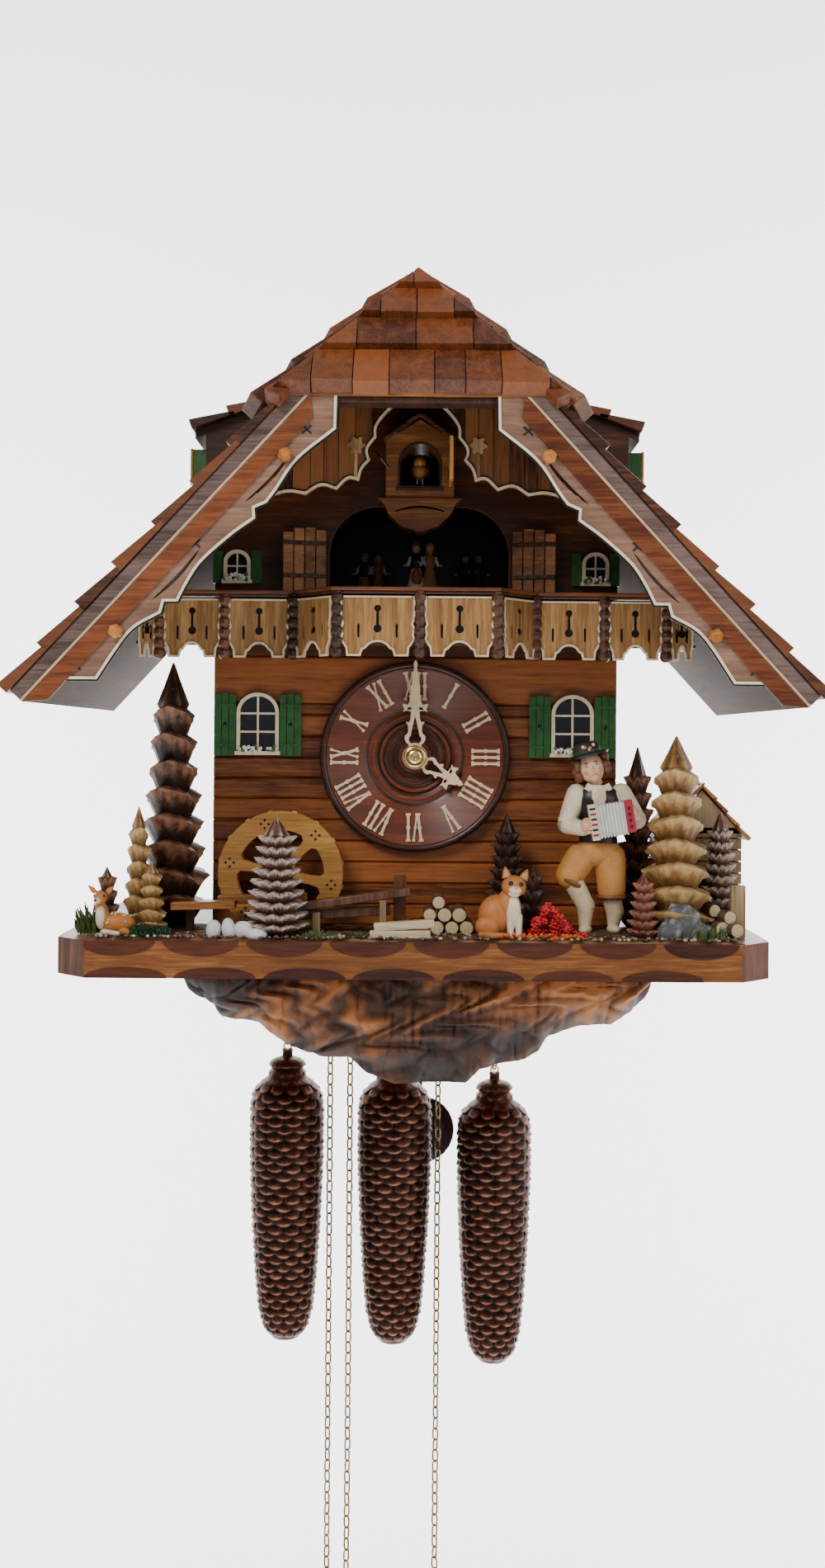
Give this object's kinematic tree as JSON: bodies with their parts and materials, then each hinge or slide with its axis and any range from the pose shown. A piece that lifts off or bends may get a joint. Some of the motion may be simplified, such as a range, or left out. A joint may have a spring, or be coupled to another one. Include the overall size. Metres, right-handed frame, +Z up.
{
  "type": "cuckoo clock",
  "caption": "Wall-hung chalet cuckoo clock with a shingled roof, balcony, dancers' carousel, mill wheel, painted figures, pendulum and pine-cone weights on chains.",
  "frame": {"origin": "on the wall face of the back board, straight behind the centre of the dial", "axes": "+X to the right seen from the front, +Y into the wall, +Z up; the dial faces -Y"},
  "size_m": [0.4018, 0.2592, 0.8805],
  "materials": {
    "dark_wood": "dark stained and varnished",
    "brown_wood": "stained brown, satin varnish",
    "orange_wood": "orange-brown stain, satin varnish",
    "light_wood": "light oak, satin",
    "pink_wood": "pale brown, satin",
    "hand_cream": "cream, satin",
    "green_paint": "dark green paint",
    "figure_paint": "hand-painted, matt",
    "brass": "satin",
    "aged_brass": "aged",
    "cone_iron": "copper-bronze paint rubbed dark"
  },
  "bodies": {
    "root": {"back_board": "dark_wood", "balcony_deck": "brown_wood", "balcony_railing": "light_wood", "bargeboard_left": "pink_wood", "bargeboard_right": "pink_wood", "base_carving": "brown_wood", "base_platform": "orange_wood", "bellows_left": "light_wood", "bellows_right": "light_wood", "cuckoo_house": "orange_wood", "dial": "brown_wood", "dormer_left": "dark_wood", "dormer_right": "dark_wood", "free_chain_left": "aged_brass", "free_chain_middle": "aged_brass", "free_chain_right": "aged_brass", "front_board": "brown_wood", "gable_cladding": "brown_wood", "hank_left": "aged_brass", "hank_middle": "aged_brass", "hank_right": "aged_brass", "hip_roof": "dark_wood", "hut": "orange_wood", "movement_frame": "brass", "musician": "figure_paint", "ring_left": "brass", "ring_middle": "brass", "ring_right": "brass", "roof_board_left": "dark_wood", "roof_board_right": "dark_wood", "shingles_left": "dark_wood", "shingles_right": "dark_wood", "stage_door_left": "orange_wood", "stage_door_right": "orange_wood", "tree_right": "light_wood", "tree_tall": "dark_wood", "wall_left": "brown_wood", "wall_right": "brown_wood", "window_left": "green_paint", "window_right": "green_paint"},
    "minute_hand": {"minute_hand": "hand_cream", "hand_nut": "brass"},
    "hour_hand": {"hour_hand": "hand_cream"},
    "cuckoo_door": {"cuckoo_door": "orange_wood"},
    "cuckoo_bird": {"cuckoo_bird": "brown_wood"},
    "carousel": {"carousel_table": "dark_wood", "dancers_left": "figure_paint", "dancers_centre": "figure_paint", "dancers_right": "figure_paint"},
    "mill_wheel": {"mill_wheel": "light_wood"},
    "bellows_lid_left": {"bellows_lid_left": "orange_wood"},
    "bellows_lid_right": {"bellows_lid_right": "orange_wood"},
    "escape_wheel": {"escape_wheel": "brass"},
    "pendulum": {"pendulum": "dark_wood"},
    "chain_wheel_left": {"chain_wheel_left": "brass"},
    "chain_wheel_middle": {"chain_wheel_middle": "brass"},
    "chain_wheel_right": {"chain_wheel_right": "brass"},
    "weight_left": {"weight_left": "cone_iron"},
    "weight_middle": {"weight_middle": "cone_iron"},
    "weight_right": {"weight_right": "cone_iron"}
  },
  "joints": [
    {"name": "minute_turn", "type": "hinge", "parent": "root", "child": "minute_hand", "pos_m": [0, -0.16, 0], "axis": [0, 1, 0], "continuous": true},
    {"name": "hour_turn", "type": "hinge", "parent": "root", "child": "hour_hand", "pos_m": [0, -0.16, 0], "axis": [0, 1, 0], "continuous": true},
    {"name": "cuckoo_door_swing", "type": "hinge", "parent": "root", "child": "cuckoo_door", "pos_m": [0.0175, -0.17701, 0.155], "axis": [0, 0, 1], "range_deg": [-90, 0]},
    {"name": "cuckoo_slide", "type": "slide", "parent": "root", "child": "cuckoo_bird", "axis": [0, -1, 0], "range_m": [-0.0175, 0]},
    {"name": "carousel_turn", "type": "hinge", "parent": "root", "child": "carousel", "pos_m": [0.003, -0.092, 0.087], "axis": [0, 0, 1], "continuous": true},
    {"name": "mill_wheel_turn", "type": "hinge", "parent": "root", "child": "mill_wheel", "pos_m": [-0.071, -0.16, -0.0625], "axis": [0, 1, 0], "continuous": true},
    {"name": "bellows_left_lift", "type": "hinge", "parent": "root", "child": "bellows_lid_left", "pos_m": [-0.085, -0.012, 0.0203], "axis": [-1, 0, 0], "range_deg": [0, 12]},
    {"name": "bellows_right_lift", "type": "hinge", "parent": "root", "child": "bellows_lid_right", "pos_m": [0.085, -0.012, 0.0203], "axis": [-1, 0, 0], "range_deg": [0, 12]},
    {"name": "escape_turn", "type": "hinge", "parent": "root", "child": "escape_wheel", "pos_m": [0.005, -0.05, 0.016], "axis": [0, 1, 0], "continuous": true},
    {"name": "pendulum_swing", "type": "hinge", "parent": "root", "child": "pendulum", "pos_m": [0.005, -0.035, 0.032], "axis": [0, 1, 0], "range_deg": [-5, 5]},
    {"name": "weight_left_drop", "type": "slide", "parent": "root", "child": "weight_left", "axis": [0, 0, -1], "range_m": [0, 1.5]},
    {"name": "chain_wheel_left_turn", "type": "hinge", "parent": "root", "child": "chain_wheel_left", "pos_m": [-0.0613, -0.065, -0.03], "axis": [0, 1, 0], "continuous": true},
    {"name": "weight_middle_drop", "type": "slide", "parent": "root", "child": "weight_middle", "axis": [0, 0, -1], "range_m": [0, 1.5]},
    {"name": "chain_wheel_middle_turn", "type": "hinge", "parent": "root", "child": "chain_wheel_middle", "pos_m": [-0.02355, -0.065, -0.03], "axis": [0, 1, 0], "continuous": true},
    {"name": "weight_right_drop", "type": "slide", "parent": "root", "child": "weight_right", "axis": [0, 0, -1], "range_m": [0, 1.5]},
    {"name": "chain_wheel_right_turn", "type": "hinge", "parent": "root", "child": "chain_wheel_right", "pos_m": [0.0319, -0.065, -0.03], "axis": [0, 1, 0], "continuous": true}
  ],
  "couplings": [
    {"joint": "hour_turn", "follows": "minute_turn", "ratio": 0.083333},
    {"joint": "cuckoo_slide", "follows": "cuckoo_door_swing", "m_per_rad": 0.0109},
    {"joint": "mill_wheel_turn", "follows": "carousel_turn", "ratio": 1},
    {"joint": "chain_wheel_left_turn", "follows": "weight_left_drop", "rad_per_m": -78.74},
    {"joint": "chain_wheel_middle_turn", "follows": "weight_middle_drop", "rad_per_m": 75.472},
    {"joint": "chain_wheel_right_turn", "follows": "weight_right_drop", "rad_per_m": 59.88}
  ]
}
